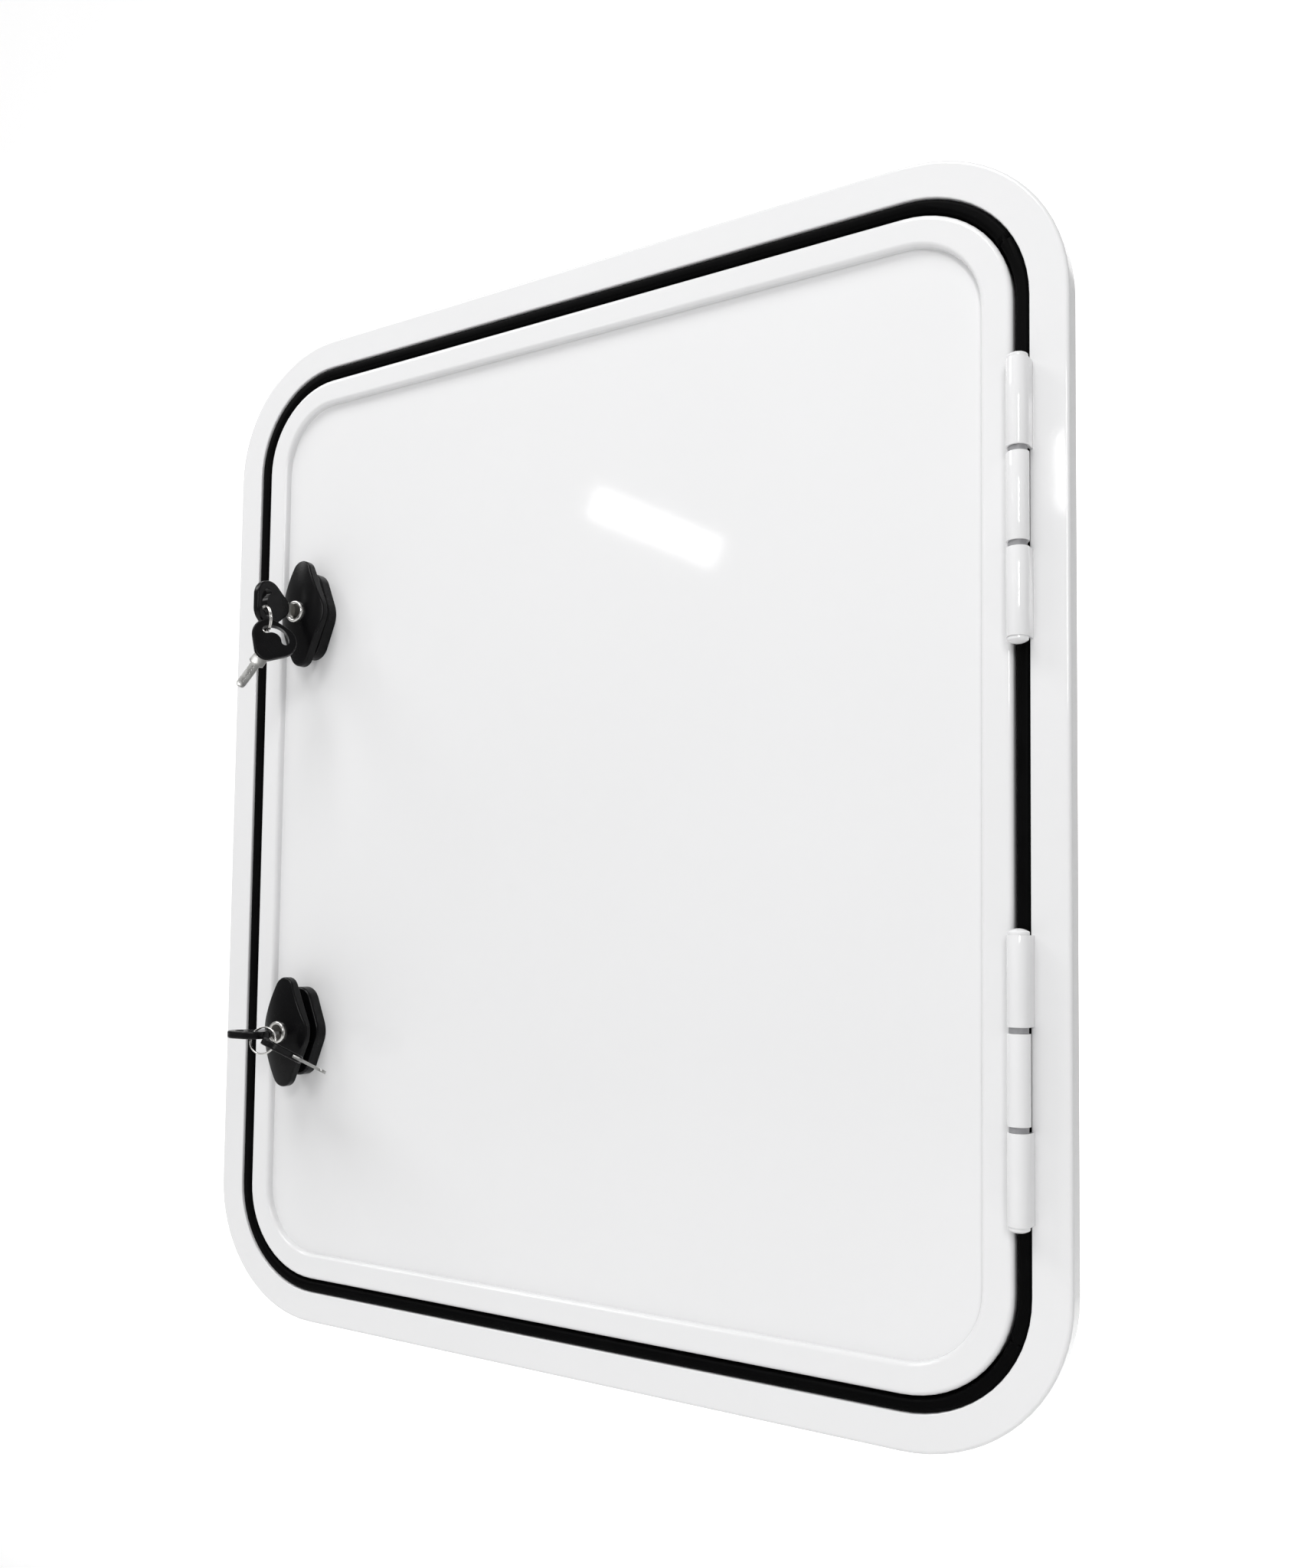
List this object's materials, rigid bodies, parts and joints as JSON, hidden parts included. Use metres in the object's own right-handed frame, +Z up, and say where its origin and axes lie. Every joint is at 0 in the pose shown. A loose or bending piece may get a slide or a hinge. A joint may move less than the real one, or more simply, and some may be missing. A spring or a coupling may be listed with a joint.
{
  "type": "rv hatch door",
  "caption": "White framed hatch door for a caravan wall, hinged on one side, with a rubber seal, turn-knob locks and hanging keys.",
  "frame": {"origin": "on the frame foot that beds on the outer wall face, half way along the bottom rail", "axes": "+X to the right seen from outside, -Y towards the person outside, +Z up"},
  "size_m": [0.61, 0.1123, 0.7],
  "materials": {
    "white_coat": "gloss",
    "white_panel": "gloss",
    "foam": "matte",
    "black_rubber": "matte",
    "black_plastic": "satin",
    "grey_nylon": "satin",
    "zinc": "satin",
    "nickel": "polished"
  },
  "bodies": {
    "frame": {"outer_frame": "white_coat", "frame_seal": "black_rubber", "upper_hinge_frame_knuckles": "white_coat", "upper_hinge_pin": "zinc", "upper_hinge_bushes": "grey_nylon", "upper_hinge_caps": "white_coat", "lower_hinge_frame_knuckles": "white_coat", "lower_hinge_pin": "zinc", "lower_hinge_bushes": "grey_nylon", "lower_hinge_caps": "white_coat"},
    "door": {"door_rim": "white_coat", "outer_skin": "white_panel", "foam_core": "foam", "inner_skin": "white_panel", "upper_hinge_door_knuckle": "white_coat", "upper_lock_base": "black_plastic", "upper_lock_barrel": "black_plastic", "upper_lock_nut": "zinc", "lower_hinge_door_knuckle": "white_coat", "lower_lock_base": "black_plastic", "lower_lock_barrel": "black_plastic", "lower_lock_nut": "zinc"},
    "upper_knob": {"upper_knob": "black_plastic", "upper_cylinder_housing": "nickel", "upper_spindle": "zinc", "upper_latch_tongue": "zinc", "upper_tongue_screw": "zinc"},
    "upper_key": {"upper_cylinder_plug": "nickel", "upper_key_head": "black_plastic", "upper_key_blade": "nickel", "upper_key_ring": "nickel", "upper_spare_head": "black_plastic", "upper_spare_blade": "nickel"},
    "lower_knob": {"lower_knob": "black_plastic", "lower_cylinder_housing": "nickel", "lower_spindle": "zinc", "lower_latch_tongue": "zinc", "lower_tongue_screw": "zinc"},
    "lower_key": {"lower_cylinder_plug": "nickel", "lower_key_head": "black_plastic", "lower_key_blade": "nickel", "lower_key_ring": "nickel", "lower_spare_head": "black_plastic", "lower_spare_blade": "nickel"}
  },
  "joints": [
    {"name": "door_swing", "type": "hinge", "parent": "frame", "child": "door", "pos_m": [0.28, -0.0215, 0.346], "axis": [0, 0, 1], "range_deg": [0, 170]},
    {"name": "upper_knob_turn", "type": "hinge", "parent": "door", "child": "upper_knob", "pos_m": [-0.229, 0, 0.4945], "axis": [0, -1, 0], "range_deg": [0, 90]},
    {"name": "upper_key_turn", "type": "hinge", "parent": "upper_knob", "child": "upper_key", "pos_m": [-0.229, 0, 0.4945], "axis": [0, 1, 0], "range_deg": [0, 90]},
    {"name": "lower_knob_turn", "type": "hinge", "parent": "door", "child": "lower_knob", "pos_m": [-0.229, 0, 0.1975], "axis": [0, -1, 0], "range_deg": [0, 90]},
    {"name": "lower_key_turn", "type": "hinge", "parent": "lower_knob", "child": "lower_key", "pos_m": [-0.229, 0, 0.1975], "axis": [0, -1, 0], "range_deg": [0, 90]}
  ]
}
